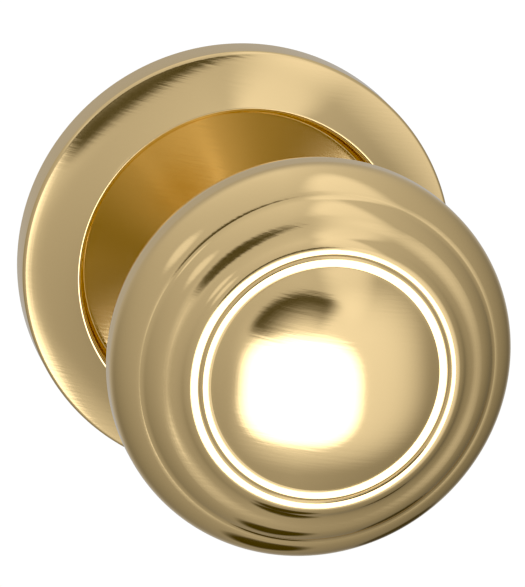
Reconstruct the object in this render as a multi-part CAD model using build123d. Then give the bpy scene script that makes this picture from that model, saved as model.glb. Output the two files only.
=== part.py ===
"""Sprung passage door knob: a ringed round knob on a dished round rose, with its rotor, cassette and fixings.

Every piece is drawn about the local Z axis, which is the knob's axis: height 0 is the door's face, positive
heights point away from the door, and local Y is up. write_all() turns each piece into the row's frame, where the
knob's front looks along -Y and +Z is up. Units are millimetres.
"""

from build123d import *
import os
from math import asin, cos, degrees, radians, sin, sqrt

# ---- driving dimensions -------------------------------------------------------------------------------------
ROSE_RADIUS = 33.0
ROSE_WALL = 1.1
ROSE_EDGE_HEIGHT = 5.1
LIP_RADIUS = 25.05
LIP_HEIGHT = 9.0
DISH_HEIGHT = 4.5
DISH_RISE = 0.9
ROSE_HOLE_RADIUS = 10.0

KNOB_RADIUS = 28.6
KNOB_TOP = 67.0
DOME_RADIUS = 35.0
DOME_EDGE = 15.95
EQUATOR_TOP = 54.0
SHELL_THICKNESS = 1.2
SEAM_HEIGHT = 50.8
NECK_END = 30.8

SHANK_RADIUS = 9.6
TAIL_RADIUS = 8.5
THREAD_RADIUS = 7.95
SPINDLE_SIZE = 8.0
SPINDLE_CLEARANCE = 0.1
SPINDLE_BACK = -45.0
SPINDLE_FRONT = 30.0

PLATE_RADIUS = 31.6
PLATE_THICKNESS = 2.6
RUNNING_CLEARANCE = 0.05

BOLT_SPACING = 38.0
BOLT_RADIUS = 2.0
BOLT_SHANK_RADIUS = 1.8
BOLT_HEAD_RADIUS = 3.8
BOLT_THREAD_TOP = -13.2
BOLT_END = -35.0

HOUSING_RADIUS = 24.9
HOUSING_TOP = 0.8
HOUSING_BACK = -10.8
HOUSING_WALL = 1.5
LID_THICKNESS = 1.2
HOUSING_SCREW_CIRCLE = 20.5
HOUSING_SCREW_ANGLES = (55, 125, 235, 305)
SCREW_RADIUS = 1.25

TURN_LIMIT = 60.0
SPRING_RADIUS = 12.4
WIRE_RADIUS = 0.7
SPRING_PITCH = 1.5
SPRING_TURNS = 3
SPRING_LEG_ANGLE = 10.0
SPRING_TOP = -4.9
SPRING_LEG_END = 19.6
LEG_INSET = 1.5
FINGER_RADII = (14.6, 16.4)
FINGER_HALF_ANGLE = 6.0
STOP_CIRCLE = 15.4
STOP_RADIUS = 1.4

SHOULDER_HEIGHT = -1.5
CAM_DISC_THICKNESS = 2.0
CAM_SLEEVE_RADIUS = 10.2
CAM_BACK = -10.0


# ---- drawing helpers ----------------------------------------------------------------------------------------
def turned(*edges):
    """Solid of revolution of a closed outline, drawn as (radius, height), about the knob's axis."""
    return revolve(Plane.XZ * make_face(edges), Axis.Z)


def ring(inner, outer, low, high):
    """Flat ring, or a disc where inner is 0, between two heights."""
    face = Circle(outer) - Circle(inner) if inner else Circle(outer)
    return Pos(0, 0, low) * extrude(face, high - low)


def on_circle(radius, angle, height=0.0):
    """Place on a circle about the axis, the angle counted from local X towards local Y."""
    return Pos(radius * cos(radians(angle)), radius * sin(radians(angle)), height)


def sector(inner, outer, middle, half_angle, low, high):
    """Block between two radii, two angles and two heights."""
    width = 2 * outer * sin(radians(half_angle))
    block = Rot(0, 0, middle) * Pos(outer, 0, (low + high) / 2) * Box(2 * outer, width, high - low)
    return ring(inner, outer, low, high) & block


def polygon_prism(flats, low, high):
    """Hexagonal prism with the given width across flats."""
    return Pos(0, 0, low) * extrude(RegularPolygon(flats / 2, 6, major_radius=False), high - low)


def group(solids):
    """Several separate solids kept in one node."""
    return Compound(children=[item.solid() for item in solids])


def drawn_between(start, end, radius):
    """Straight round bar between two points."""
    direction = Vector(*end) - Vector(*start)
    return extrude(Plane(start, z_dir=direction) * Circle(radius), direction.length)


# ---- the rose, fixed to the door ----------------------------------------------------------------------------
def rose_cover():
    """Spun brass cover: straight edge, broad cove, raised lip and a sunk middle that rises inwards."""
    shoulder = (ROSE_RADIUS - 0.33, ROSE_EDGE_HEIGHT + 0.5)
    lip_foot = (LIP_RADIUS + 0.31, LIP_HEIGHT - 0.11)
    lip_inside = (LIP_RADIUS - 0.5, LIP_HEIGHT - 0.5)
    middle = DISH_HEIGHT + DISH_RISE
    outside = [
        Line((ROSE_RADIUS, 0), (ROSE_RADIUS, ROSE_EDGE_HEIGHT)),
        ThreePointArc((ROSE_RADIUS, ROSE_EDGE_HEIGHT), (ROSE_RADIUS - 0.09, ROSE_EDGE_HEIGHT + 0.3), shoulder),
        Bezier(shoulder, (30.27, 6.41), (27.16, 7.77), lip_foot),
        ThreePointArc(lip_foot, (LIP_RADIUS - 0.22, LIP_HEIGHT - 0.05), lip_inside),
        Bezier(lip_inside, (24.3, 7.0), (24.45, DISH_HEIGHT), (23.4, DISH_HEIGHT)),
        Bezier((23.4, DISH_HEIGHT), (20.0, DISH_HEIGHT), (15.0, DISH_HEIGHT + 0.2), (10.9, middle)),
        Line((10.9, middle), (ROSE_HOLE_RADIUS, middle)),
    ]
    inside = Polyline(
        (ROSE_HOLE_RADIUS, middle),
        (ROSE_HOLE_RADIUS, middle - ROSE_WALL),
        (22.9, 3.4),
        (25.4, 3.4),
        (25.5, 7.5),
        (27.2, 6.5),
        (31.0, 5.0),
        (ROSE_RADIUS - ROSE_WALL, 4.6),
        (ROSE_RADIUS - ROSE_WALL, 0),
        (ROSE_RADIUS, 0),
    )
    return turned(*outside, *inside.edges())


def cover_clip_ring():
    """Split wire ring in the plate's edge groove that grips the cover's wall."""
    wire = Pos(0, 0, 1.3) * Torus(PLATE_RADIUS - 0.25, 0.5)
    gap = Pos(0, -PLATE_RADIUS, 1.3) * Box(6, 6, 3)
    return wire - gap


def bolt_places(height=0.0):
    """The two through-bolts' axes, level with the spindle."""
    return [Pos(side * BOLT_SPACING / 2, 0, height) for side in (-1, 1)]


def mounting_plate():
    """Steel plate behind the cover: rim on the door, recess for the cassette, countersinks, clip groove."""
    plate = ring(SHANK_RADIUS + 2.0, PLATE_RADIUS, 0, PLATE_THICKNESS)
    plate -= ring(0, HOUSING_RADIUS + 0.1, 0, HOUSING_TOP)
    plate -= Pos(0, 0, 1.3) * Torus(PLATE_RADIUS - 0.25, 0.55)
    depth = PLATE_THICKNESS - HOUSING_TOP
    for place in bolt_places(HOUSING_TOP + depth / 2):
        plate -= place * Cone(BOLT_RADIUS + 0.05, BOLT_HEAD_RADIUS + 0.05, depth)
    for angle in HOUSING_SCREW_ANGLES:
        plate -= on_circle(HOUSING_SCREW_CIRCLE, angle, PLATE_THICKNESS / 2) * Cylinder(
            SCREW_RADIUS + 0.15, PLATE_THICKNESS + 1
        )
    return plate


def shank_bush():
    """Flanged nylon bearing bush in the plate's middle, running on the shank."""
    bore = SHANK_RADIUS + RUNNING_CLEARANCE
    sleeve = ring(bore, SHANK_RADIUS + 1.95, SHOULDER_HEIGHT + 0.3, PLATE_THICKNESS)
    return sleeve + ring(bore, SHANK_RADIUS + 3.2, PLATE_THICKNESS, PLATE_THICKNESS + 0.4)


def spring_housing():
    """Cast cup behind the plate: floor, wall, two bolt bosses, four screw bosses."""
    floor_back = HOUSING_TOP - 1.2
    cup = ring(SHANK_RADIUS + 2.0, HOUSING_RADIUS, floor_back, HOUSING_TOP)
    cup += ring(HOUSING_RADIUS - HOUSING_WALL, HOUSING_RADIUS, HOUSING_BACK, floor_back)
    bosses = [(place, 4.6) for place in bolt_places()]
    bosses += [(on_circle(HOUSING_SCREW_CIRCLE, angle), 3.2) for angle in HOUSING_SCREW_ANGLES]
    for place, radius in bosses:
        cup += place * ring(0, radius, HOUSING_BACK, floor_back)
    for place in bolt_places():
        cup -= place * ring(0, BOLT_RADIUS + 0.2, HOUSING_BACK - 1, HOUSING_TOP + 1)
    for angle in HOUSING_SCREW_ANGLES:
        cup -= on_circle(HOUSING_SCREW_CIRCLE, angle) * ring(0, SCREW_RADIUS + 0.02, HOUSING_BACK - 1, 3)
    return cup


def housing_lid():
    """Steel lid that closes the cassette, with the shank's, bolts' and screws' holes."""
    back = HOUSING_BACK - LID_THICKNESS
    lid = ring(TAIL_RADIUS + 0.3, HOUSING_RADIUS, back, HOUSING_BACK)
    for place in bolt_places():
        lid -= place * ring(0, BOLT_RADIUS + 0.2, back - 1, 0)
    for angle in HOUSING_SCREW_ANGLES:
        lid -= on_circle(HOUSING_SCREW_CIRCLE, angle) * ring(0, SCREW_RADIUS + 0.15, back - 1, 0)
    return lid


def housing_screws():
    """Four small pan-head screws through the lid and the cup into the plate."""
    back = HOUSING_BACK - LID_THICKNESS
    screw = ring(0, SCREW_RADIUS, back, PLATE_THICKNESS - 0.4) + ring(0, 2.4, back - 1.4, back)
    screw -= Pos(0, 0, back - 1.0) * Box(0.6, 3.0, 0.9) + Pos(0, 0, back - 1.0) * Box(3.0, 0.6, 0.9)
    return group([on_circle(HOUSING_SCREW_CIRCLE, angle) * screw for angle in HOUSING_SCREW_ANGLES])


def through_bolts():
    """Two countersunk bolts that run through the door to the other side's plate."""
    depth = PLATE_THICKNESS - HOUSING_TOP
    bolt = ring(0, BOLT_RADIUS, BOLT_END, BOLT_THREAD_TOP)
    bolt += ring(0, BOLT_SHANK_RADIUS, BOLT_THREAD_TOP, HOUSING_TOP)
    bolt += Pos(0, 0, HOUSING_TOP + depth / 2) * Cone(BOLT_RADIUS, BOLT_HEAD_RADIUS, depth)
    bolt -= Pos(0, 0, PLATE_THICKNESS - 0.5) * polygon_prism(2.5, -0.9, 1.0)
    bolt = chamfer(bolt.faces().sort_by(Axis.Z)[0].edges(), 0.5)
    return group([place * bolt for place in bolt_places()])


def stop_pins():
    """Two pins in the cup's floor that end the cam finger's travel each way."""
    finger_half_width = FINGER_RADII[1] * sin(radians(FINGER_HALF_ANGLE))
    swing = TURN_LIMIT + degrees(asin((finger_half_width + STOP_RADIUS) / STOP_CIRCLE)) + 1.0
    low, high = SHOULDER_HEIGHT - 2.3, HOUSING_TOP - 1.2
    pin = ring(0, STOP_RADIUS, low, high)
    return group([on_circle(STOP_CIRCLE, 90 + side * swing) * pin for side in (-1, 1)])


def spring_anchor():
    """Fixed pin between the spring's two legs, outside the cam finger."""
    return on_circle(18.2, 90) * ring(0, 1.2, HOUSING_BACK + 0.3, HOUSING_TOP - 1.2)


def return_spring():
    """Torsion spring: close coils round the cam's sleeve, and two radial legs astride the finger."""
    turn = 360 * SPRING_TURNS - 2 * SPRING_LEG_ANGLE
    height = SPRING_PITCH * turn / 360
    first = 90 + SPRING_LEG_ANGLE
    coil = Rot(0, 0, first) * Helix(SPRING_PITCH, height, SPRING_RADIUS)
    spring = sweep(Plane(coil @ 0, z_dir=coil % 0) * Circle(WIRE_RADIUS), coil, is_frenet=True)
    for angle, level in ((first + LEG_INSET, 0.0), (first + turn - LEG_INSET, height)):
        start = on_circle(SPRING_RADIUS, angle, level).position
        end = on_circle(SPRING_LEG_END, angle, level).position
        spring += drawn_between(start, end, WIRE_RADIUS * 0.97)
    return Pos(0, 0, SPRING_TOP - height) * spring


# ---- the knob, which turns ----------------------------------------------------------------------------------
def dome_point(radius, depth=0.0):
    """Point of the dome's meridian, or of a concentric sphere that lies deeper, at a radius from the axis."""
    return (radius, KNOB_TOP - DOME_RADIUS + sqrt((DOME_RADIUS - depth) ** 2 - radius**2))


def dome_arc(edge_radius, depth=0.0):
    """Meridian arc of the dome from the axis to a radius."""
    middle = dome_point(edge_radius / 2, depth)
    return ThreePointArc(dome_point(0, depth), middle, dome_point(edge_radius, depth))


def knob_front_shell():
    """Spun brass face: dome, flat land, valley, bead, cove and ring, groove, and the round edge."""
    dome_foot = dome_point(DOME_EDGE)
    land = dome_foot[1] + 0.03
    face = Polyline(
        dome_foot,
        (16.02, land - 0.06),
        (16.12, land),
        (17.16, land),
        (17.55, land - 0.2),
        (17.94, land),
        (18.3, land),
    )
    outside = [
        dome_arc(DOME_EDGE),
        *face.edges(),
        Bezier((18.3, land), (18.75, land - 0.03), (19.4, land - 0.25), (19.9, land - 0.8)),
        Bezier((19.9, land - 0.8), (20.3, land - 1.24), (20.9, land - 1.5), (21.5, land - 1.76)),
        Line((21.5, land - 1.76), (22.3, land - 2.08)),
        Line((22.3, land - 2.08), (22.7, land - 2.25)),
        Bezier((22.7, land - 2.25), (23.3, land - 2.51), (24.0, land - 3.1), (24.55, land - 3.85)),
        Bezier((24.55, land - 3.85), (24.7, land - 4.06), (24.95, land - 4.22), (25.2, land - 4.31)),
        Line((25.2, land - 4.31), (25.6, land - 4.46)),
        Bezier((25.6, land - 4.46), (26.9, land - 5.15), (KNOB_RADIUS, 56.4), (KNOB_RADIUS, EQUATOR_TOP)),
        Line((KNOB_RADIUS, EQUATOR_TOP), (KNOB_RADIUS, 52.4)),
        Bezier((KNOB_RADIUS, 52.4), (KNOB_RADIUS, 51.8), (28.55, 51.2), (28.4, SEAM_HEIGHT)),
    ]
    inside = Polyline(
        (28.4, SEAM_HEIGHT),
        (27.4, SEAM_HEIGHT),
        (27.4, 53.8),
        (26.4, 56.2),
        (25.2, 57.4),
        (22.4, 59.6),
        (19.6, 60.9),
        dome_point(16.0, SHELL_THICKNESS),
    )
    roof = dome_arc(16.0, SHELL_THICKNESS)
    axis_line = Line((0, KNOB_TOP - SHELL_THICKNESS), (0, KNOB_TOP))
    return turned(*outside, *inside.edges(), roof, axis_line)


def knob_rear_shell():
    """Brass back of the knob: rim inside the front shell, full back, waisted neck collar on the shank."""
    hole = SHANK_RADIUS
    outside = [
        Line((26.3, 53.2), (27.3, 53.2)),
        Line((27.3, 53.2), (27.3, SEAM_HEIGHT - 0.1)),
        Line((27.3, SEAM_HEIGHT - 0.1), (28.3, SEAM_HEIGHT - 0.1)),
        Bezier((28.3, SEAM_HEIGHT - 0.1), (27.8, 46.0), (23.4, 42.6), (17.6, 40.2)),
        Bezier((17.6, 40.2), (13.2, 38.4), (11.0, 35.6), (10.9, NECK_END + 0.6)),
        Line((10.9, NECK_END + 0.6), (10.6, NECK_END)),
        Line((10.6, NECK_END), (hole, NECK_END)),
        Line((hole, NECK_END), (hole, 39.6)),
    ]
    inside = [
        Line((hole, 39.6), (12.4, 39.9)),
        Bezier((12.4, 39.9), (17.6, 41.9), (25.6, 45.0), (26.3, 51.2)),
        Line((26.3, 51.2), (26.3, 53.2)),
    ]
    return turned(*outside, *inside)


def reinforcing_cup():
    """Pressed steel cup inside the head, clamped on the shank's front shoulder."""
    return turned(
        *Polyline(
            (THREAD_RADIUS + 0.1, 45.4),
            (22.4, 45.4),
            (24.6, 47.2),
            (25.4, 51.0),
            (24.2, 51.0),
            (23.6, 47.9),
            (21.9, 46.6),
            (THREAD_RADIUS + 0.1, 46.6),
            close=True,
        ).edges()
    )


def clamp_nut():
    """Hexagon nut that clamps the cup to the shank."""
    nut = polygon_prism(22.0, 46.6, 51.4)
    return nut - ring(0, THREAD_RADIUS + 0.05, 46, 52)


def knob_shank():
    """Turned shank: threaded front, running journal, shouldered tail with clip groove and key seat."""
    shank = ring(0, SHANK_RADIUS, SHOULDER_HEIGHT, 45.4) + ring(0, THREAD_RADIUS, 45.4, 52.6)
    shank += ring(0, TAIL_RADIUS, -16.0, SHOULDER_HEIGHT)
    shank -= ring(TAIL_RADIUS - 0.8, TAIL_RADIUS + 1, -14.25, -13.05)
    bore = SPINDLE_SIZE + 2 * SPINDLE_CLEARANCE
    shank -= Pos(0, 0, (SPINDLE_FRONT - 16.0) / 2) * Box(bore, bore, SPINDLE_FRONT + 16.2)
    shank -= Pos(0, -SHANK_RADIUS, 17.0) * Rot(90, 0, 0) * Cylinder(2.55, 12)
    shank -= Pos(0, -TAIL_RADIUS, -6.5) * Box(2.02, 1.8, 5.02)
    return shank


def spindle():
    """Square steel spindle that works the latch, chamfered at its free end."""
    bar = Pos(0, 0, (SPINDLE_BACK + SPINDLE_FRONT) / 2) * Box(
        SPINDLE_SIZE, SPINDLE_SIZE, SPINDLE_FRONT - SPINDLE_BACK - 0.2
    )
    return chamfer(bar.faces().sort_by(Axis.Z)[0].edges(), 0.8)


def spindle_grub_screw():
    """Grub screw through the shank's underside that holds the spindle."""
    screw = Cylinder(2.5, 5.2) - Pos(0, 0, 1.6) * polygon_prism(2.5, 0.0, 2.0)
    return Pos(0, -(SPINDLE_SIZE / 2 + 2.6), 17.0) * Rot(90, 0, 0) * screw


def spring_cam():
    """Steel cam keyed to the tail: disc, spring sleeve, and a finger that reaches between the spring's legs."""
    disc_back = SHOULDER_HEIGHT - CAM_DISC_THICKNESS
    bore = TAIL_RADIUS + 0.02
    cam = ring(bore, CAM_SLEEVE_RADIUS + 1.0, disc_back, SHOULDER_HEIGHT)
    cam += ring(bore, CAM_SLEEVE_RADIUS, CAM_BACK, disc_back)
    cam += sector(CAM_SLEEVE_RADIUS, FINGER_RADII[1], 90, FINGER_HALF_ANGLE, disc_back, SHOULDER_HEIGHT)
    cam += sector(FINGER_RADII[0], FINGER_RADII[1], 90, FINGER_HALF_ANGLE, CAM_BACK, disc_back)
    return cam - Pos(0, -TAIL_RADIUS, -6.5) * Box(2.02, 2.0, 5.02)


def cam_key():
    """Square key between the cam's sleeve and the tail."""
    return Pos(0, -TAIL_RADIUS, -6.5) * Box(2.0, 1.76, 5.0)


def thrust_washer():
    """Nylon washer between the cam's sleeve and the lid."""
    return ring(TAIL_RADIUS + 0.1, 12.8, CAM_BACK - 0.65, CAM_BACK - 0.05)


def wave_washer():
    """Spring washer behind the lid that takes up end play."""
    lid_back = HOUSING_BACK - LID_THICKNESS
    return ring(TAIL_RADIUS + 0.1, 11.4, lid_back - 0.95, lid_back - 0.15)


def retaining_clip():
    """External circlip in the tail's groove, open at the top, with two eared ends."""
    clip = ring(TAIL_RADIUS - 0.75, 10.9, -14.2, -13.1)
    clip -= Pos(0, 9.5, -13.65) * Box(4.4, 6.0, 3.0)
    for side in (-1, 1):
        ear = Pos(side * 3.9, 10.6, -14.2) * extrude(Circle(1.5) - Circle(0.6), 1.1)
        clip += ear
    return clip


# ---- writing ------------------------------------------------------------------------------------------------
PIECES = (
    rose_cover,
    cover_clip_ring,
    mounting_plate,
    shank_bush,
    spring_housing,
    housing_lid,
    housing_screws,
    through_bolts,
    stop_pins,
    spring_anchor,
    return_spring,
    knob_front_shell,
    knob_rear_shell,
    reinforcing_cup,
    clamp_nut,
    knob_shank,
    spindle,
    spindle_grub_screw,
    spring_cam,
    cam_key,
    thrust_washer,
    wave_washer,
    retaining_clip,
)


def write_all():
    """Turns every piece so that the knob's front looks along -Y, and writes it under its own name."""
    os.makedirs("parts", exist_ok=True)
    for make in PIECES:
        export_step(Rot(90, 0, 0) * make(), f"parts/{make.__name__}.step")


write_all()
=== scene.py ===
"""Looks of a sprung passage door knob: spun brass head and rose, turned shank, and sprung cassette behind.

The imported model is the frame. The knob's axis is the row frame's Y axis: the door's face is y = 0 and the
knob's front looks along -Y. Shapes are drawn about a local axis, as (radius, height) with the height counted
in millimetres from the door's face towards the room, and are then turned into the row frame and metres.
"""

import logging
from dataclasses import dataclass, field
from enum import Enum
from math import cos, degrees, pi, radians, sin

import bpy
import numpy as np
from mathutils import Matrix, Vector


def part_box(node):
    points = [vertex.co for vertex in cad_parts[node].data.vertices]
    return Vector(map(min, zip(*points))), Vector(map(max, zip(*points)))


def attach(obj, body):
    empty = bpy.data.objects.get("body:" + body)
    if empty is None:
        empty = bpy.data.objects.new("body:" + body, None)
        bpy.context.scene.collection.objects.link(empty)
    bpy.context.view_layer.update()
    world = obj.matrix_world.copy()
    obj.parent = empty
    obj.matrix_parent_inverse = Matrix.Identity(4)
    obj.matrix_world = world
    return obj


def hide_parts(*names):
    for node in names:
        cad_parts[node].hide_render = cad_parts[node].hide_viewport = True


MM = 0.001

Array = np.ndarray
Pair = tuple[float, float]

log = logging.getLogger("door_knob")
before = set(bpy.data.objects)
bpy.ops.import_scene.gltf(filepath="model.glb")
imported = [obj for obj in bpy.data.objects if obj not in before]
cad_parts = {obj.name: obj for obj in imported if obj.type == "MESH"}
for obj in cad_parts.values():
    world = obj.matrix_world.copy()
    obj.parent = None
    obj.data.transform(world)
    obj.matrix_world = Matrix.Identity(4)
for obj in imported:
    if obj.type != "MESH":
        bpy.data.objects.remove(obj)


class Body(Enum):
    """The two rigid bodies that pieces ride on."""

    ROSE = "rose"
    KNOB = "knob"


# ---- outlines and surfaces ----------------------------------------------------------------------------
class Outline:
    """Meridian of a turned piece, drawn stroke after stroke as (radius, height) in millimetres."""

    def __init__(self, radius: float, height: float) -> None:
        """Puts the pen down.

        Args:
            radius: distance from the axis.
            height: height above the door's face.
        """
        self.strokes: list[Array] = [np.array([[radius, height]], float)]

    @property
    def pen(self) -> Array:
        """Where the last stroke ended."""
        return self.strokes[-1][-1]

    def line(self, *ends: Pair) -> "Outline":
        """Straight strokes, one to each end in turn.

        Args:
            ends: where the strokes end.

        Returns:
            The outline, for the next stroke.
        """
        self.strokes.append(np.array(ends, float))
        return self

    def curve(self, first: Pair, second: Pair, end: Pair, steps: int = 24) -> "Outline":
        """Cubic Bezier stroke: the pen, two controls and the end, weighted by the Bernstein polynomials.

        Args:
            first: control that sets the direction at the pen.
            second: control that sets the direction at the end.
            end: where the stroke ends.
            steps: number of chords.

        Returns:
            The outline, for the next stroke.
        """
        t = np.linspace(0, 1, steps + 1)[1:, None]
        corners = np.array([self.pen, first, second, end], float)
        weights = np.hstack([(1 - t) ** 3, 3 * (1 - t) ** 2 * t, 3 * (1 - t) * t**2, t**3])
        self.strokes.append(weights @ corners)
        return self

    def arc(self, middle: Pair, end: Pair, steps: int = 12) -> "Outline":
        """Circular stroke from the pen through a middle point.

        The centre is equally far from the three points, so it solves the two equations that say so. The angle
        then runs evenly from the pen's to the end's, the way round that meets the middle.

        Args:
            middle: a point on the stroke.
            end: where the stroke ends.
            steps: number of chords.

        Returns:
            The outline, for the next stroke.
        """
        start, via, stop = self.pen, np.array(middle, float), np.array(end, float)
        sides = 2 * np.array([via - start, stop - start])
        centre = np.linalg.solve(sides, [via @ via - start @ start, stop @ stop - start @ start])
        spokes = np.array([start, via, stop]) - centre
        angles = np.unwrap(np.arctan2(spokes[:, 1], spokes[:, 0]))
        turn = np.linspace(angles[0], angles[2], steps + 1)[1:]
        radius = np.hypot(*spokes[0])
        self.strokes.append(centre + radius * np.column_stack([np.cos(turn), np.sin(turn)]))
        return self

    def points(self) -> Array:
        """All the outline's points, one row each."""
        return np.concatenate(self.strokes)


@dataclass
class Surface:
    """Vertices in local millimetres with the quads and triangles between them."""

    vertices: Array
    quads: Array
    triangles: Array

    def __add__(self, other: "Surface") -> "Surface":
        """Both surfaces as one, not welded."""
        shift = len(self.vertices)
        return Surface(
            np.concatenate([self.vertices, other.vertices]),
            np.concatenate([self.quads, other.quads + shift]),
            np.concatenate([self.triangles, other.triangles + shift]),
        )

    def moved(self, x: float, y: float, height: float = 0.0) -> "Surface":
        """The surface at another place.

        Args:
            x: shift to the right, in millimetres.
            y: shift upwards.
            height: shift away from the door.

        Returns:
            A new surface.
        """
        return Surface(self.vertices + np.array([x, y, height]), self.quads, self.triangles)

    def piece(self, name: str, crease: float = 32.0) -> bpy.types.Object:
        """Makes the surface an object in the row frame.

        The local x, y and height become the row's X, Z and -Y, which is a quarter turn about X.

        Args:
            name: the object's name.
            crease: edges that turn by more than this many degrees are drawn sharp.

        Returns:
            The object, linked to the scene, at the origin.
        """
        x, y, height = self.vertices.T
        placed = np.column_stack([x, -height, y]) * MM
        mesh = bpy.data.meshes.new(name)
        mesh.from_pydata(placed.tolist(), [], self.quads.tolist() + self.triangles.tolist())
        mesh.polygons.foreach_set("use_smooth", np.ones(len(mesh.polygons), bool))
        mesh.set_sharp_from_angle(angle=radians(crease))
        mesh.update()
        made = bpy.data.objects.new(name, mesh)
        bpy.context.scene.collection.objects.link(made)
        return made


def skin(rows: Array, poles: Array | None = None) -> Surface:
    """Closed surface over a grid of points whose rows are loops.

    Each loop closes on itself. Without poles, the last row also joins the first, like a tyre. With poles, a
    fan of triangles closes each end. Faces turn outwards when loops run anticlockwise as seen from the last
    row.

    Args:
        rows: points by row and place in the row, in millimetres.
        poles: the first and the last end's middle points, or None for a ring.

    Returns:
        The surface.
    """
    count, around = rows.shape[:2]
    index = np.arange(count * around).reshape(count, around)
    beside = np.roll(index, -1, axis=1)
    if poles is None:
        above, above_beside = np.roll(index, -1, axis=0), np.roll(beside, -1, axis=0)
        quads = np.stack([index, beside, above_beside, above], -1).reshape(-1, 4)
        return Surface(rows.reshape(-1, 3), quads, np.zeros((0, 3), int))
    quads = np.stack([index[:-1], beside[:-1], beside[1:], index[1:]], -1).reshape(-1, 4)
    first, last = count * around, count * around + 1
    fans = [
        np.stack([np.full(around, first), beside[0], index[0]], -1),
        np.stack([index[-1], beside[-1], np.full(around, last)], -1),
    ]
    return Surface(np.concatenate([rows.reshape(-1, 3), poles]), quads, np.concatenate(fans))


def around_axis(radius: Array, angle: Array, height: Array) -> Array:
    """Points at polar places about the knob's axis: (r cos a, r sin a, h), for arrays that share a shape."""
    radius, angle, height = np.broadcast_arrays(radius, angle, height)
    return np.stack([radius * np.cos(angle), radius * np.sin(angle), height], -1)


def full_turn(segments: int) -> Array:
    """Evenly spaced angles of one turn, the last one short of the first."""
    return np.linspace(0, 2 * pi, segments, endpoint=False)


def revolve(section: Array, segments: int) -> Surface:
    """Surface of revolution of a closed section about the axis.

    A point (r, h) goes round as (r cos a, r sin a, h). A section that starts and ends on the axis gets a pole
    at each end, and any other is a ring. The section is first put anticlockwise by the sign of its area.

    Args:
        section: the (radius, height) points in millimetres.
        segments: number of steps in the turn.

    Returns:
        The surface, with its faces outwards.
    """
    radius, height = section.T
    area = np.sum(radius * np.roll(height, -1) - np.roll(radius, -1) * height)
    if area < 0:
        radius, height = radius[::-1], height[::-1]
    on_axis = radius[0] < 1e-6
    inner = slice(1, -1) if on_axis else slice(None)
    rows = around_axis(radius[inner, None], full_turn(segments)[None], height[inner, None])
    poles = np.array([[0, 0, height[0]], [0, 0, height[-1]]]) if on_axis else None
    return skin(rows, poles)


def tube(path: Array, radius: float, sides: int = 16) -> Surface:
    """Round wire along a path that never runs along the axis.

    At each point the section's two directions are the axis, made square to the path, and their cross product.

    Args:
        path: the centre line's points, in millimetres.
        radius: the wire's radius.
        sides: number of faces round the wire.

    Returns:
        The surface, with both ends closed.
    """
    along = np.gradient(path, axis=0)
    along /= np.linalg.norm(along, axis=1, keepdims=True)
    axis = np.array([0.0, 0.0, 1.0])
    rise = axis - along * along[:, 2:]
    rise /= np.linalg.norm(rise, axis=1, keepdims=True)
    side = np.cross(rise, along)
    turn = full_turn(sides)[None, :, None]
    rows = path[:, None] + radius * (np.cos(turn) * rise[:, None] - np.sin(turn) * side[:, None])
    return skin(rows, path[[0, -1]])


# ---- finishes -----------------------------------------------------------------------------------------
def linear(code: str) -> tuple[float, float, float, float]:
    """An sRGB hex colour as linear light, by the standard's straight foot and power curve.

    Args:
        code: the colour as six hexadecimal digits.

    Returns:
        Red, green, blue and alpha.
    """
    parts = np.array([int(code[i : i + 2], 16) for i in (0, 2, 4)]) / 255
    light = np.where(parts <= 0.04045, parts / 12.92, ((parts + 0.055) / 1.055) ** 2.4)
    return (*light.tolist(), 1.0)


def add_node(
    tree: bpy.types.NodeTree, kind: str, inputs: dict | None = None, **settings: object
) -> bpy.types.Node:
    """Adds a node with its settings and links.

    Args:
        tree: the material's or world's node tree.
        kind: the node's type without its ShaderNode prefix.
        inputs: constants or output sockets, by the input's name or number.
        settings: the node's own properties.

    Returns:
        The node.
    """
    node = tree.nodes.new("ShaderNode" + kind)
    for name, value in settings.items():
        setattr(node, name, value)
    for key, value in (inputs or {}).items():
        if isinstance(value, bpy.types.NodeSocket):
            tree.links.new(value, node.inputs[key])
        else:
            node.inputs[key].default_value = value
    return node


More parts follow.
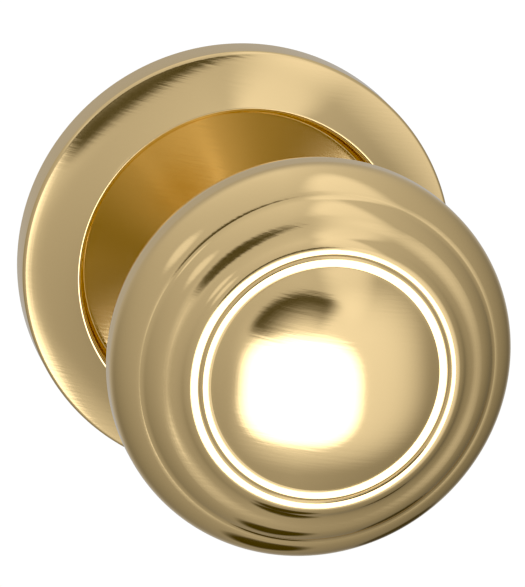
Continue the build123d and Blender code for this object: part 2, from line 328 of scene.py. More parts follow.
@dataclass(frozen=True)
class Finish:
    """What every finish has: a metal's or plastic's colour, how rough it is, and its fine relief."""

    name: str
    colour: str
    roughness: float
    metallic: float = 1.0

    def material(self) -> bpy.types.Material:
        """Makes the finish's material, the first time that it is asked for.

        Returns:
            The material.
        """
        made = bpy.data.materials.get(self.name)
        if made:
            return made
        made = bpy.data.materials.new(self.name)
        made.use_nodes = True
        tree = made.node_tree
        shader = tree.nodes["Principled BSDF"]
        shader.inputs["Base Color"].default_value = linear(self.colour)
        shader.inputs["Metallic"].default_value = self.metallic
        shader.inputs["Roughness"].default_value = self.roughness
        self.dress(tree, shader)
        made.diffuse_color = linear(self.colour)
        return made

    def dress(self, tree: bpy.types.NodeTree, shader: bpy.types.Node) -> None:
        """Adds the finish's own patterns.

        Args:
            tree: the material's node tree.
            shader: its surface shader.
        """

    @staticmethod
    def place(tree: bpy.types.NodeTree) -> bpy.types.NodeSocket:
        """The surface point in metres, in the row frame."""
        return add_node(tree, "TexCoord").outputs["Object"]

    def from_axis(self, tree: bpy.types.NodeTree) -> bpy.types.NodeSocket:
        """The surface point's distance from the knob's axis, in metres."""
        flat = add_node(tree, "VectorMath", {0: self.place(tree), 1: (1, 0, 1)}, operation="MULTIPLY")
        return add_node(tree, "VectorMath", {0: flat.outputs[0]}, operation="LENGTH").outputs["Value"]

    def streaks(
        self, tree: bpy.types.NodeTree, tilt: float, across: float, along: float
    ) -> bpy.types.NodeSocket:
        """Straight brush marks in planes square to the axis: noise drawn out along one direction.

        Args:
            tree: the material's node tree.
            tilt: the marks' angle, in degrees, anticlockwise from level as seen from the room.
            across: a mark's width in millimetres.
            along: a mark's length in millimetres.

        Returns:
            The noise, from 0 to 1.
        """
        turned = add_node(tree, "Mapping", {"Vector": self.place(tree), "Rotation": (0, radians(tilt), 0)})
        scale = (1 / (along * MM), 1 / (along * MM), 1 / (across * MM))
        stretched = add_node(tree, "Mapping", {"Vector": turned.outputs[0], "Scale": scale})
        noise = add_node(tree, "TexNoise", {"Vector": stretched.outputs[0], "Scale": 1.0, "Detail": 3.0})
        return noise.outputs[0]

    def rings(self, tree: bpy.types.NodeTree, spacing: float) -> bpy.types.NodeSocket:
        """Turning marks: one-dimensional noise of the distance from the knob's axis.

        Args:
            tree: the material's node tree.
            spacing: distance from mark to mark in millimetres.

        Returns:
            The noise, from 0 to 1.
        """
        marks = {"W": self.from_axis(tree), "Scale": 1 / (spacing * MM), "Detail": 2.0}
        return add_node(tree, "TexNoise", marks, noise_dimensions="1D").outputs[0]

    def mottle(self, tree: bpy.types.NodeTree, size: float, low: float, high: float) -> bpy.types.NodeSocket:
        """Slow cloudy change between two levels.

        Args:
            tree: the material's node tree.
            size: a cloud's size in millimetres.
            low: level of the dark clouds.
            high: level of the light clouds.

        Returns:
            The level.
        """
        clouds = {"Vector": self.place(tree), "Scale": 1 / (size * MM), "Detail": 4.0}
        noise = add_node(tree, "TexNoise", clouds)
        spread = {"Value": noise.outputs[0], "From Min": 0.3, "From Max": 0.7, "To Min": low, "To Max": high}
        return add_node(tree, "MapRange", spread).outputs[0]

    @staticmethod
    def relief(
        tree: bpy.types.NodeTree, shader: bpy.types.Node, height: bpy.types.NodeSocket, depth: float
    ) -> None:
        """Presses a pattern into the surface.

        Args:
            tree: the material's node tree.
            shader: the shader whose normal is bent.
            height: the pattern, from 0 to 1.
            depth: the pattern's depth in millimetres.
        """
        bump = add_node(tree, "Bump", {"Height": height, "Distance": depth * MM, "Strength": 1.0})
        tree.links.new(bump.outputs[0], shader.inputs["Normal"])


@dataclass(frozen=True)
class LacqueredBrass(Finish):
    """Spun cartridge brass, polished on a wheel and lacquered: a mirror with faint straight wheel marks.

    Where satin_inside is set, the metal nearer to the axis than that many millimetres is duller, and a narrow
    blend at that radius leads to the bright metal.
    """

    mark_tilt: float = -12.0
    mark_width: float = 0.45
    mark_length: float = 7.0
    mark_depth: float = 0.006
    spin_spacing: float = 0.35
    spin_depth: float = 0.0006
    cloud: float = 9.0
    satin_inside: float = 0.0
    satin: float = 0.13
    satin_blend: float = 0.2

    def dress(self, tree: bpy.types.NodeTree, shader: bpy.types.Node) -> None:
        """Wheel and spinning marks in relief, a slow change of gloss, and the satin middle if there is one.

        Args:
            tree: the material's node tree.
            shader: its surface shader.
        """
        wheel = self.streaks(tree, self.mark_tilt, self.mark_width, self.mark_length)
        spin = self.rings(tree, self.spin_spacing)
        share = self.spin_depth / self.mark_depth
        both = add_node(tree, "Math", {0: spin, 1: share, 2: wheel}, operation="MULTIPLY_ADD")
        self.relief(tree, shader, both.outputs[0], self.mark_depth)
        gloss = self.mottle(tree, self.cloud, self.roughness * 0.88, self.roughness * 1.12)
        if self.satin_inside:
            inner = (self.satin_inside - self.satin_blend) * MM
            outer = (self.satin_inside + self.satin_blend) * MM
            blend = {"Value": self.from_axis(tree), "From Min": inner, "From Max": outer}
            levels = {"To Min": self.satin, "To Max": gloss}
            gloss = add_node(tree, "MapRange", blend | levels).outputs[0]
        tree.links.new(gloss, shader.inputs["Roughness"])


@dataclass(frozen=True)
class TurnedBrass(Finish):
    """Bar brass straight from the lathe: feed marks run round the shank and spread highlights along it."""

    feed: float = 0.18
    depth: float = 0.004

    def dress(self, tree: bpy.types.NodeTree, shader: bpy.types.Node) -> None:
        """Feed marks along the axis, as noise of the height alone.

        Args:
            tree: the material's node tree.
            shader: its surface shader.
        """
        split = add_node(tree, "SeparateXYZ", {0: self.place(tree)})
        marks = {"W": split.outputs["Y"], "Scale": 1 / (self.feed * MM)}
        noise = add_node(tree, "TexNoise", marks, noise_dimensions="1D")
        self.relief(tree, shader, noise.outputs[0], self.depth)


@dataclass(frozen=True)
class PlatedSteel(Finish):
    """Zinc-plated mild steel: a pale bluish grey whose plating clouds slightly, over faint rolling marks."""

    shade: str = "A9AFB2"
    cloud: float = 3.2

    def dress(self, tree: bpy.types.NodeTree, shader: bpy.types.Node) -> None:
        """Clouds of the passivated plating in colour and gloss, and rolling marks in relief.

        Args:
            tree: the material's node tree.
            shader: its surface shader.
        """
        level = self.mottle(tree, self.cloud, 0.0, 1.0)
        colours = {"Factor": level, "A": linear(self.colour), "B": linear(self.shade)}
        tint = add_node(tree, "Mix", colours, data_type="RGBA")
        tree.links.new(tint.outputs["Result"], shader.inputs["Base Color"])
        gloss = self.mottle(tree, 1.4, self.roughness * 0.8, self.roughness * 1.25)
        tree.links.new(gloss, shader.inputs["Roughness"])
        self.relief(tree, shader, self.streaks(tree, 90.0, 0.25, 6.0), 0.004)


@dataclass(frozen=True)
class SpringSteel(Finish):
    """Oil-tempered spring steel: dark blue-grey with a drawn, slightly oily gloss."""

    def dress(self, tree: bpy.types.NodeTree, shader: bpy.types.Node) -> None:
        """Uneven gloss of the temper scale and a fine tooth.

        Args:
            tree: the material's node tree.
            shader: its surface shader.
        """
        gloss = self.mottle(tree, 2.0, self.roughness * 0.75, self.roughness * 1.3)
        tree.links.new(gloss, shader.inputs["Roughness"])
        self.relief(tree, shader, self.mottle(tree, 0.3, 0.0, 1.0), 0.004)


@dataclass(frozen=True)
class CastZinc(Finish):
    """Die-cast zinc: dull grey skin with soft flow clouds and a fine cast grain."""

    shade: str = "8D9193"

    def dress(self, tree: bpy.types.NodeTree, shader: bpy.types.Node) -> None:
        """Flow clouds in colour and grain in relief.

        Args:
            tree: the material's node tree.
            shader: its surface shader.
        """
        level = self.mottle(tree, 5.0, 0.0, 1.0)
        colours = {"Factor": level, "A": linear(self.colour), "B": linear(self.shade)}
        tint = add_node(tree, "Mix", colours, data_type="RGBA")
        tree.links.new(tint.outputs["Result"], shader.inputs["Base Color"])
        self.relief(tree, shader, self.mottle(tree, 0.35, 0.0, 1.0), 0.02)


@dataclass(frozen=True)
class Nylon(Finish):
    """Moulded natural nylon: a waxy off-white with a little light passing under its skin."""

    def dress(self, tree: bpy.types.NodeTree, shader: bpy.types.Node) -> None:
        """Shallow scattering and a fine moulded texture.

        Args:
            tree: the material's node tree.
            shader: its surface shader.
        """
        shader.inputs["Subsurface Weight"].default_value = 0.15
        shader.inputs["Subsurface Scale"].default_value = 1.0 * MM
        self.relief(tree, shader, self.mottle(tree, 0.4, 0.0, 1.0), 0.006)


class Finishes:
    """The finishes by the record's material slots."""

    POLISHED = LacqueredBrass("lacquered_spun_brass", "EED3A0", 0.09)
    DISHED = LacqueredBrass("lacquered_brass_satin_in_the_dish", "EED3A0", 0.09, satin_inside=24.55)
    TURNED = TurnedBrass("turned_bar_brass", "E9CE97", 0.22)
    PLATED = PlatedSteel("zinc_plated_steel_sheet", "C3C8CA", 0.33)
    SPRING = SpringSteel("oil_tempered_spring_steel", "6A6E73", 0.34)
    CAST = CastZinc("die_cast_zinc_skin", "9EA2A4", 0.48)
    NYLON = Nylon("moulded_natural_nylon", "E9E4D6", 0.42, 0.0)

    BY_SLOT: dict[str, Finish] = {
        "lacquered_brass": POLISHED,
        "turned_brass": TURNED,
        "zinc_plated_steel": PLATED,
        "spring_steel": SPRING,
        "die_cast_zinc": CAST,
        "nylon": NYLON,
    }


# ---- putting pieces into the frame --------------------------------------------------------------------
def fit(
    surface: Surface,
    name: str,
    body: Body,
    slot: str,
    *stood_for: str,
    crease: float = 32.0,
    finish: Finish | None = None,
) -> bpy.types.Object:
    """Makes a surface a piece of the object: dressed, riding on its body and standing for its CAD nodes.

    Args:
        surface: the shape.
        name: the piece's name.
        body: what it moves with.
        slot: the record's material slot.
        stood_for: the CAD nodes that the piece replaces.
        crease: edges sharper than this many degrees are drawn sharp.
        finish: its own finish, where it isn't the slot's.

    Returns:
        The piece.
    """
    made = surface.piece(name, crease)
    made.data.materials.append((finish or Finishes.BY_SLOT[slot]).material())
    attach(made, body.value)
    if stood_for:
        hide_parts(*stood_for)
    faces = len(surface.quads) * 2 + len(surface.triangles)
    instead = ", ".join(stood_for) or "itself"
    log.info("%s rides on %s with %d triangles, for %s", name, body.value, faces, instead)
    return made


def dress_node(name: str, slot: str) -> None:
    """Gives a CAD node that stays its finish.

    Args:
        name: the node.
        slot: the record's material slot.
    """
    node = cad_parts[name]
    for place in node.material_slots:
        place.material = Finishes.BY_SLOT[slot].material()
    log.info("%s keeps its own shape in %s", name, slot)


def reach(node: str) -> tuple[float, float, float]:
    """How far a CAD node reaches.

    Args:
        node: the node's name.

    Returns:
        Its farthest point to the right of the axis, its lowest height and its highest height, in millimetres.
    """
    low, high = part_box(node)
    return (high.x / MM, -high.y / MM, -low.y / MM)


# ---- the rose -----------------------------------------------------------------------------------------
@dataclass
class RoseCover:
    """Spun cover: straight edge, broad slope, raised lip and a sunk middle that rises gently to the hole."""

    wall: float = 1.1
    edge_height: float = 5.1
    lip_radius: float = 25.05
    dish_height: float = 4.5
    hole_radius: float = 10.0
    cone_height: float = 5.4
    segments: int = 360

    def section(self) -> Array:
        """The cover's outline, going up the edge, over the face to the hole, and back along the inside.

        Returns:
            The closed section's points.
        """
        radius, _, lip = reach("rose_cover")
        dish, wall, edge = self.dish_height, radius - self.wall, self.edge_height
        outline = Outline(radius, 0.0).line((radius, 0.5 * edge), (radius, edge))
        outline.arc((radius - 0.09, edge + 0.3), (radius - 0.33, edge + 0.5), 10)
        outline.curve((30.27, 6.41), (27.16, 7.77), (self.lip_radius + 0.31, lip - 0.11), 48)
        outline.arc((self.lip_radius - 0.22, lip - 0.05), (self.lip_radius - 0.5, lip - 0.5), 14)
        outline.curve((24.3, 7.0), (24.45, dish), (23.4, dish), 24)
        outline.curve((20.0, dish - 0.1), (15.0, dish + 0.1), (10.9, self.cone_height), 32)
        outline.line((self.hole_radius, self.cone_height), (self.hole_radius, 4.3), (22.9, 3.4), (25.4, 3.4))
        outline.line((25.5, 7.5), (27.2, 6.5), (31.0, 5.0), (wall, 4.6), (wall, 0.0))
        return outline.points()

    def build(self) -> None:
        """Makes the cover."""
        surface = revolve(self.section(), self.segments)
        fit(surface, "rose_cover_spun", Body.ROSE, "lacquered_brass", "rose_cover", finish=Finishes.DISHED)


@dataclass
class ThroughBolts:
    """Two countersunk machine bolts, threaded over their free length, with a hexagon socket in the head."""

    radius: float = 2.0
    shank_radius: float = 1.8
    pitch: float = 0.7
    thread_depth: float = 0.4
    thread_top: float = -13.2
    head_radius: float = 3.8
    head_height: float = 1.8
    socket_flats: float = 2.5
    socket_depth: float = 1.2
    end_chamfer: float = 0.6
    segments: int = 40

    def head(self, top: float, angle: Array) -> Array:
        """Countersunk head and its socket, as rows of points.

        A hexagon's edge is at (half the flats) / cos(angle from the nearest flat's middle).

        Args:
            top: height of the head's face.
            angle: the angles round the bolt.

        Returns:
            The rows, from the shank's top to the socket's floor.
        """
        edge, rim = 0.1, 0.08
        widest, flat = self.head_radius, self.head_radius - edge
        hexagon = self.socket_flats / 2 / np.cos(np.mod(angle, pi / 3) - pi / 6)
        floor = top - self.socket_depth
        cone = [(self.shank_radius, top - self.head_height), (flat, top - 2 * edge), (widest, top - edge)]
        face = [(flat, top), (hexagon + rim, top)]
        socket = [(hexagon, top - rim), (hexagon, floor), (hexagon * 0.5, floor - 0.2)]
        return np.stack([around_axis(r, angle, h) for r, h in cone + face + socket])

    def shape(self) -> Surface:
        """One bolt about its own axis.

        Along the thread the radius falls and rises as a triangle wave of (height / pitch - angle / one turn),
        and the wave fades out over the last pitch below the shank.

        Returns:
            The bolt.
        """
        _, low, top = reach("through_bolts")
        angle = full_turn(self.segments)[None]
        height = np.arange(low + self.end_chamfer, self.thread_top, self.pitch / 8)[:, None]
        phase = np.mod(height / self.pitch - angle / (2 * pi), 1.0)
        wave = np.clip(1.15 * np.abs(2 * phase - 1) - 0.05, 0, 1)
        fade = np.clip((self.thread_top - height) / self.pitch, 0, 1)
        thread = around_axis(self.radius - self.thread_depth * wave * fade, angle, height)
        core = self.radius - self.thread_depth
        tip = around_axis(np.full((1, 1), core - 0.15), angle, np.full((1, 1), low))
        step = around_axis(np.array([[self.radius], [self.shank_radius]]), angle, self.thread_top)
        rows = np.concatenate([tip, thread, step, self.head(top, angle[0])])
        return skin(rows, np.array([[0, 0, low], [0, 0, top - self.socket_depth - 0.3]]))

    def build(self) -> None:
        """Makes the two bolts, level with the spindle."""
        low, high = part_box("through_bolts")
        half = (high.x - low.x) / 2 / MM - self.head_radius
        pair = self.shape().moved(-half, 0) + self.shape().moved(half, 0)
        fit(pair, "through_bolts_threaded", Body.ROSE, "zinc_plated_steel", "through_bolts")


@dataclass
class ReturnSpring:
    """Torsion spring: close coils, with each end bent outwards over a small radius into a straight leg."""

    coil_radius: float = 12.4
    wire_radius: float = 0.7
    turns: int = 3
    leg_angle: float = 10.0
    leg_end: float = 19.6
    bend: float = 1.3

    def path(self) -> Array:
        """Centre line of the wire.

        A leg is a straight run at one angle. Its bend is a quarter circle that brings the radius down to the
        coil's while the angle starts to turn, and the coil is a helix between the two bends.

        Returns:
            The path's points, from one leg's end to the other's.
        """
        _, low, high = reach("return_spring")
        low, high = low + self.wire_radius, high - self.wire_radius
        turn = np.linspace(0, pi / 2, 14)
        leg = np.linspace(self.leg_end, self.coil_radius + self.bend, 12)[:-1]
        radius_in = np.concatenate([leg, self.coil_radius + self.bend * (1 - np.sin(turn))])
        swing = self.bend / self.coil_radius * (1 - np.cos(turn))
        start = radians(90 + self.leg_angle)
        end = start + radians(360 * self.turns - 2 * self.leg_angle)
        angle_in = np.concatenate([np.full(len(leg), start), start + swing])
        coil = np.linspace(start + swing[-1], end - swing[-1], 90 * self.turns)[1:-1]
        rise = low + (high - low) * (coil - coil[0]) / (coil[-1] - coil[0])
        radius = np.concatenate([radius_in, np.full(len(coil), self.coil_radius), radius_in[::-1]])
        angle = np.concatenate([angle_in, coil, start + end - angle_in[::-1]])
        level = np.concatenate([np.full(len(radius_in), low), rise, np.full(len(radius_in), high)])
        return around_axis(radius, angle, level)

    def build(self) -> None:
        """Makes the spring."""
        surface = tube(self.path(), self.wire_radius)
        fit(surface, "return_spring_wound", Body.ROSE, "spring_steel", "return_spring", crease=60.0)


@dataclass
class Rose:
    """Everything that stays on the door: cover, plate, bush, cassette, bolts and spring."""

    cover: RoseCover = field(default_factory=RoseCover)
    bolts: ThroughBolts = field(default_factory=ThroughBolts)
    spring: ReturnSpring = field(default_factory=ReturnSpring)

    def build(self) -> None:
        """Makes the new pieces and dresses the nodes that stay."""
        self.cover.build()
        self.bolts.build()
        self.spring.build()
        for name in ("mounting_plate", "housing_lid", "housing_screws"):
            dress_node(name, "zinc_plated_steel")
        for name in ("cover_clip_ring", "stop_pins", "spring_anchor"):
            dress_node(name, "spring_steel")
        dress_node("spring_housing", "die_cast_zinc")
        dress_node("shank_bush", "nylon")


# ---- the knob -----------------------------------------------------------------------------------------
@dataclass
class FaceShell:
    """Spun face: dome, flat land with a fine V groove, stepped slope, and round edge down to the seam."""

    dome_radius: float = 35.0
    dome_edge: float = 15.95
    equator: float = 54.0
    thickness: float = 1.2
    seam: float = 50.8
    segments: int = 360

    def dome(self, edge: float, depth: float = 0.0, steps: int = 40) -> Array:
        """Meridian of the dome or of a concentric sphere below it.

        The height is the sphere's centre plus the square root of (radius of the sphere squared - r squared).

        Args:
            edge: radius where the meridian ends.
            depth: how far the sphere lies below the dome.
            steps: number of chords.

        Returns:
            The points, from the axis outwards.
        """
        top = reach("knob_front_shell")[2]
        radius = np.linspace(0, edge, steps + 1)
        height = top - self.dome_radius + np.sqrt((self.dome_radius - depth) ** 2 - radius**2)
        return np.column_stack([radius, height])

    def section(self) -> Array:
        """The shell's outline, going from the axis over the face to the seam, and back along the inside.

        Returns:
            The section's points, which start and end on the axis.
        """
        widest = reach("knob_front_shell")[0]
        dome = self.dome(self.dome_edge)
        land = dome[-1, 1] + 0.03
        outline = Outline(*dome[-1]).line((16.02, land - 0.06), (16.12, land), (17.16, land))
        outline.line((17.2, land - 0.01), (17.55, land - 0.2), (17.9, land - 0.01))
        outline.line((17.94, land), (18.3, land))
        outline.curve((18.75, land - 0.03), (19.4, land - 0.25), (19.9, land - 0.8), 14)
        outline.curve((20.3, land - 1.24), (20.9, land - 1.5), (21.5, land - 1.76), 12)
        outline.line((21.9, land - 1.92), (22.3, land - 2.08), (22.7, land - 2.25))
        outline.curve((23.3, land - 2.51), (24.0, land - 3.1), (24.55, land - 3.85), 14)
        outline.curve((24.7, land - 4.06), (24.95, land - 4.22), (25.2, land - 4.31), 6)
        outline.line((25.6, land - 4.46))
        outline.curve((26.9, land - 5.15), (widest, 56.4), (widest, self.equator), 32).line((widest, 52.4))
        outline.curve((widest, 51.8), (28.55, 51.2), (28.4, self.seam), 8)
        outline.line((27.4, self.seam), (27.4, 53.8), (26.4, 56.2), (25.2, 57.4), (22.4, 59.6))
        outline.line((19.6, 60.9))
        inside = self.dome(16.0, self.thickness, 12)[::-1]
        return np.concatenate([dome[:-1], outline.points(), inside])

    def build(self) -> None:
        """Makes the face."""
        surface = revolve(self.section(), self.segments)
        fit(surface, "knob_face_spun", Body.KNOB, "lacquered_brass", "knob_front_shell", crease=38.0)


@dataclass
class RearShell:
    """Spun back: a rim inside the face, a full back and a waisted neck that ends in a collar on the shank."""

    hole_radius: float = 9.6
    seam: float = 50.7
    neck_end: float = 30.8
    segments: int = 320

    def section(self) -> Array:
        """The shell's outline, going from the rim over the back to the collar, and back along the inside.

        Returns:
            The closed section's points.
        """
        outline = Outline(26.3, 53.2).line((27.3, 53.2), (27.3, self.seam), (28.3, self.seam))
        outline.curve((27.8, 46.0), (23.4, 42.6), (17.6, 40.2), 40)
        outline.curve((13.2, 38.4), (11.0, 35.6), (10.9, self.neck_end + 0.6), 32)
        outline.line((10.6, self.neck_end), (self.hole_radius, self.neck_end), (self.hole_radius, 39.6))
        outline.line((12.4, 39.9)).curve((17.6, 41.9), (25.6, 45.0), (26.3, 51.2), 16)
        return outline.points()

    def build(self) -> None:
        """Makes the back."""
        surface = revolve(self.section(), self.segments)
        fit(surface, "knob_back_spun", Body.KNOB, "lacquered_brass", "knob_rear_shell")


@dataclass
class Spindle:
    """Square bar with slightly rounded corners, drawn lengthways, with a chamfered free end."""

    corner: float = 0.45
    chamfer: float = 0.8
    per_corner: int = 6

    def loop(self, inset: float) -> Array:
        """The bar's outline: four quarter circles, one round each corner, with the flats between them.

        Args:
            inset: how far the outline lies inside the full square.

        Returns:
            The points (x, y), anticlockwise.
        """
        half = (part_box("spindle")[1].x / MM) - inset
        centre = half - self.corner
        quarter = (np.arange(4) * pi / 2)[:, None]
        turn = np.linspace(0, pi / 2, self.per_corner)[None] + quarter
        x = centre * np.sign(np.cos(quarter + pi / 4)) + self.corner * np.cos(turn)
        y = centre * np.sign(np.sin(quarter + pi / 4)) + self.corner * np.sin(turn)
        return np.column_stack([x.ravel(), y.ravel()])

    def build(self) -> None:
        """Makes the bar from its free end to its end in the shank."""
        _, low, high = reach("spindle")
        steps = ((self.chamfer, low), (0.0, low + self.chamfer), (0.0, high - 0.2), (0.2, high))
        rows = np.stack([np.column_stack([self.loop(i), np.full(4 * self.per_corner, h)]) for i, h in steps])
        bar = skin(rows, np.array([[0, 0, low], [0, 0, high]]))
        fit(bar, "spindle_drawn", Body.KNOB, "zinc_plated_steel", "spindle")


@dataclass
class WaveWasher:
    """Spring washer whose flat ring rises and falls three times in a turn."""

    inner: float = 8.6
    gauge: float = 0.3
    waves: int = 3
    edge: float = 0.05
    segments: int = 180

    def build(self) -> None:
        """Makes the washer: its height is the middle height plus a cosine of the waves times the angle."""
        outer, low, high = reach("wave_washer")
        inner, edge = self.inner, self.edge
        angle = full_turn(self.segments)[None]
        swing = (high - low - self.gauge) / 2
        middle = (low + high) / 2 + swing * np.cos(self.waves * angle)
        bottom, top = [inner + edge, outer - edge], [outer - edge, inner + edge]
        radius = np.array([*bottom, outer, outer, *top, inner, inner])
        side = np.array([-1, -1, -0.7, 0.7, 1, 1, 0.7, -0.7]) * self.gauge / 2
        rows = around_axis(radius[:, None], angle, middle + side[:, None])
        fit(skin(rows), "wave_washer_pressed", Body.KNOB, "spring_steel", "wave_washer")


@dataclass
class Knob:
    """Everything that turns: head, shank, spindle, cam and the washers and clip on the tail."""

    face: FaceShell = field(default_factory=FaceShell)
    back: RearShell = field(default_factory=RearShell)
    bar: Spindle = field(default_factory=Spindle)
    washer: WaveWasher = field(default_factory=WaveWasher)

    def build(self) -> None:
        """Makes the new pieces and dresses the nodes that stay."""
        self.face.build()
        self.back.build()
        self.bar.build()
        self.washer.build()
        dress_node("knob_shank", "turned_brass")
        for name in ("reinforcing_cup", "clamp_nut", "spring_cam"):
            dress_node(name, "zinc_plated_steel")
        for name in ("spindle_grub_screw", "cam_key", "retaining_clip"):
            dress_node(name, "spring_steel")
        dress_node("thrust_washer", "nylon")


# ---- the studio ---------------------------------------------------------------------------------------
@dataclass(frozen=True)
class Patch:
    """Soft-edged lamp or shade in the tent, placed in degrees to the right of and above the knob's axis.

    The gain is the light that a lamp adds, or the share that a shade takes away. A corner power of 2 gives an
    ellipse, and 4 a box with round corners. The lean lowers the patch by that share of the way to the right.
    """

    right: float
    up: float
    half_width: float
    half_height: float
    gain: float
    edge: float = 0.4
    corner: float = 2.0
    lean: float = 0.0


@dataclass
class Studio:
    """Pale floor, a tent of light with its lamps, shades and seam, and the camera."""

    azimuth: float = -12.2
    elevation: float = 16.6
    distance: float = 0.6
    aim_right: float = 4.64
    aim_down: float = 5.78
    lens: float = 242.1
    floor_drop: float = 0.6
    floor_radius: float = 2.4
    paper_level: float = 1.02
    tent_level: float = 0.60
    lift_by_height: float = 0.0022
    drop_to_right: float = 0.0027
    drop_to_left: float = 0.0017
    far_from: Pair = (115.0, 150.0)
    far_level: float = 0.5
    lamps: tuple[Patch, ...] = (
        Patch(-1, -20, 27, 26, 2.2, 0.45, 3.0, 0.1),
        Patch(14, -17, 40, 38, 0.5, 0.85, 3.0),
        Patch(24, 52, 14, 34, 0.35, 0.7),
        Patch(-45, 36, 10, 10, 0.32, 0.8),
    )
    shades: tuple[Patch, ...] = (
        Patch(0, -92, 16, 16, 0.75, 0.5),
        Patch(62, -108, 16, 16, 0.6, 0.5),
    )
    seam_inside: Pair = (7.0, 24.5)
    seam_outside: Pair = (28.5, 25.5)
    seam_right_end: Pair = (38.0, 62.0)
    seam_left_end: Pair = (168.0, 150.0)
    seam_depth: float = 0.86
    darkest: float = 0.02
    black_level: float = 0.035

    def towards_camera(self) -> Vector:
        """Unit vector from the knob towards the camera."""
        a, e = radians(self.azimuth), radians(self.elevation)
        return Vector((sin(a) * cos(e), -cos(a) * cos(e), sin(e)))

    def sideways(self) -> Vector:
        """Level unit vector to the camera's right."""
        a = radians(self.azimuth)
        return Vector((cos(a), sin(a), 0.0))

    def camera(self) -> None:
        """Long lens, level, looking down the line to the knob with a small shift of aim."""
        back, right = self.towards_camera(), self.sideways()
        up = back.cross(right)
        data = bpy.data.cameras.new("studio_camera")
        data.sensor_width = 36.0
        data.lens = self.lens
        held = bpy.data.objects.new("studio_camera", data)
        bpy.context.scene.collection.objects.link(held)
        place = back * self.distance + right * self.aim_right * MM - up * self.aim_down * MM
        held.matrix_world = Matrix.Translation(place) @ Matrix((right, up, back)).transposed().to_4x4()
        bpy.context.scene.camera = held

    def glow(self) -> bpy.types.Material:
        """Even white light for what only the camera sees.

        Returns:
            The material.
        """
        made = bpy.data.materials.new("white_paper")
        made.use_nodes = True
        tree = made.node_tree
        tree.nodes.clear()
        light = add_node(tree, "Emission", {"Color": linear("FFFFFF"), "Strength": self.paper_level})
        add_node(tree, "OutputMaterial", {"Surface": light.outputs[0]})
        return made

    def backdrop(self) -> None:
        """Pale floor and the white hemisphere over it, seen by the camera alone."""
        radius, drop = self.floor_radius / MM, -self.floor_drop / MM
        angle = full_turn(96)[None]
        lift = np.linspace(0, pi / 2, 24)[:-1, None]
        rows = around_axis(radius * np.cos(lift), angle, drop + radius * np.sin(lift))
        dome = skin(rows, np.array([[0, 0, drop], [0, 0, drop + radius]]))
        x, y, height = dome.vertices.T
        dome.vertices = np.column_stack([x, height, -y])
        made = dome.piece("floor_and_backdrop")
        made.data.materials.append(self.glow())
        made.visible_glossy = made.visible_diffuse = made.visible_shadow = False
        made.visible_transmission = False

    def world(self) -> None:
        """The light tent as a function of direction.

        A direction is placed by its angle from the knob's axis, shared out to the right and upwards, in
        degrees. In front the light grows upwards and falls to both sides, and far behind it is even. Lamps
        add their light and shades take their share away. The dark seam is an arc of a ring about the axis,
        sharp outside and fading inside.
        """
        world = bpy.data.worlds.new("light_tent")
        world.use_nodes = True
        bpy.context.scene.world = world
        tree = world.node_tree
        tree.nodes.clear()
        split = add_node(tree, "SeparateXYZ", {0: add_node(tree, "TexCoord").outputs["Generated"]})
        side, depth, rise = split.outputs

        def sums(operation: str, *values: object) -> bpy.types.NodeSocket:
            """One step of arithmetic."""
            return add_node(tree, "Math", dict(enumerate(values)), operation=operation).outputs[0]

        def ramp(value: bpy.types.NodeSocket, start: float, end: float) -> bpy.types.NodeSocket:
            """Smooth rise from 0 at start to 1 at end."""
            settings = {"Value": value, "From Min": start, "From Max": end}
            return add_node(tree, "MapRange", settings, interpolation_type="SMOOTHSTEP").outputs[0]

        def patch(spot: Patch) -> bpy.types.NodeSocket:
            """Mask of a patch: the sum of both offsets, each over its half size and raised to a power.

            Args:
                spot: the lamp or shade.

            Returns:
                The mask, 1 inside and 0 outside.
            """
            parts = []
            level_up = sums("MULTIPLY_ADD", right, spot.lean, up)
            across = (right, spot.right, spot.half_width)
            upright = (level_up, spot.up, spot.half_height)
            for value, middle, half in (across, upright):
                offset = sums("ABSOLUTE", sums("DIVIDE", sums("SUBTRACT", value, middle), half))
                parts.append(sums("POWER", offset, spot.corner))
            return ramp(sums("ADD", *parts), 1 + spot.edge, 1 - spot.edge)

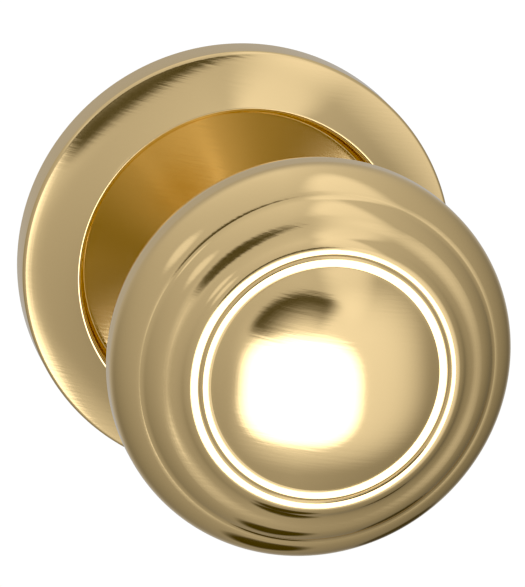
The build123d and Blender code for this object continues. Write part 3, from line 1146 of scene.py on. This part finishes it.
        angle = sums("MULTIPLY", sums("ARCCOSINE", sums("MULTIPLY", depth, -1.0)), degrees(1))
        squares = sums("ADD", sums("POWER", side, 2.0), sums("POWER", rise, 2.0))
        flat = sums("MAXIMUM", sums("SQRT", squares), 1e-4)
        right = sums("MULTIPLY", sums("DIVIDE", side, flat), angle)
        up = sums("MULTIPLY", sums("DIVIDE", rise, flat), angle)
        level = sums("MULTIPLY_ADD", up, self.lift_by_height, self.tent_level)
        level = sums("MULTIPLY_ADD", sums("MAXIMUM", right, 0.0), -self.drop_to_right, level)
        level = sums("MULTIPLY_ADD", sums("MINIMUM", right, 0.0), self.drop_to_left, level)
        seam = sums("MULTIPLY", ramp(angle, *self.seam_inside), ramp(angle, *self.seam_outside))
        around = sums("MULTIPLY", sums("ARCTAN2", rise, side), degrees(1))
        ends = sums("MULTIPLY", ramp(around, *self.seam_right_end), ramp(around, *self.seam_left_end))
        seam = sums("MULTIPLY", seam, ends)
        far = ramp(angle, *self.far_from)
        level = sums("MULTIPLY_ADD", far, sums("SUBTRACT", self.far_level, level), level)
        for spot in self.lamps:
            level = sums("MULTIPLY_ADD", patch(spot), spot.gain, level)
        for spot in self.shades:
            level = sums("MULTIPLY", level, sums("MULTIPLY_ADD", patch(spot), -spot.gain, 1.0))
        level = sums("MULTIPLY", level, sums("MULTIPLY_ADD", seam, -self.seam_depth, 1.0))
        level = sums("MAXIMUM", level, self.darkest)
        light = add_node(tree, "Background", {"Color": linear("FFFFFF"), "Strength": level})
        add_node(tree, "OutputWorld", {"Surface": light.outputs[0]})

    def grade(self) -> None:
        """Plain view of the light, with the blacks set a little deep."""
        view = bpy.context.scene.view_settings
        view.view_transform = "Standard"
        view.use_curve_mapping = True
        view.curve_mapping.black_level = (self.black_level,) * 3
        view.curve_mapping.update()

    def build(self) -> None:
        """Sets up the studio."""
        self.camera()
        self.backdrop()
        self.world()
        self.grade()
        away = self.distance / MM
        log.info("studio ready: camera %.1f mm from the knob, %.1f degrees up", away, self.elevation)


def main() -> None:
    """Builds the object piece by piece, then the studio."""
    logging.basicConfig(level=logging.INFO, format="%(name)s: %(message)s")
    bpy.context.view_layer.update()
    Rose().build()
    Knob().build()
    Studio().build()


if __name__ == "__main__":
    main()
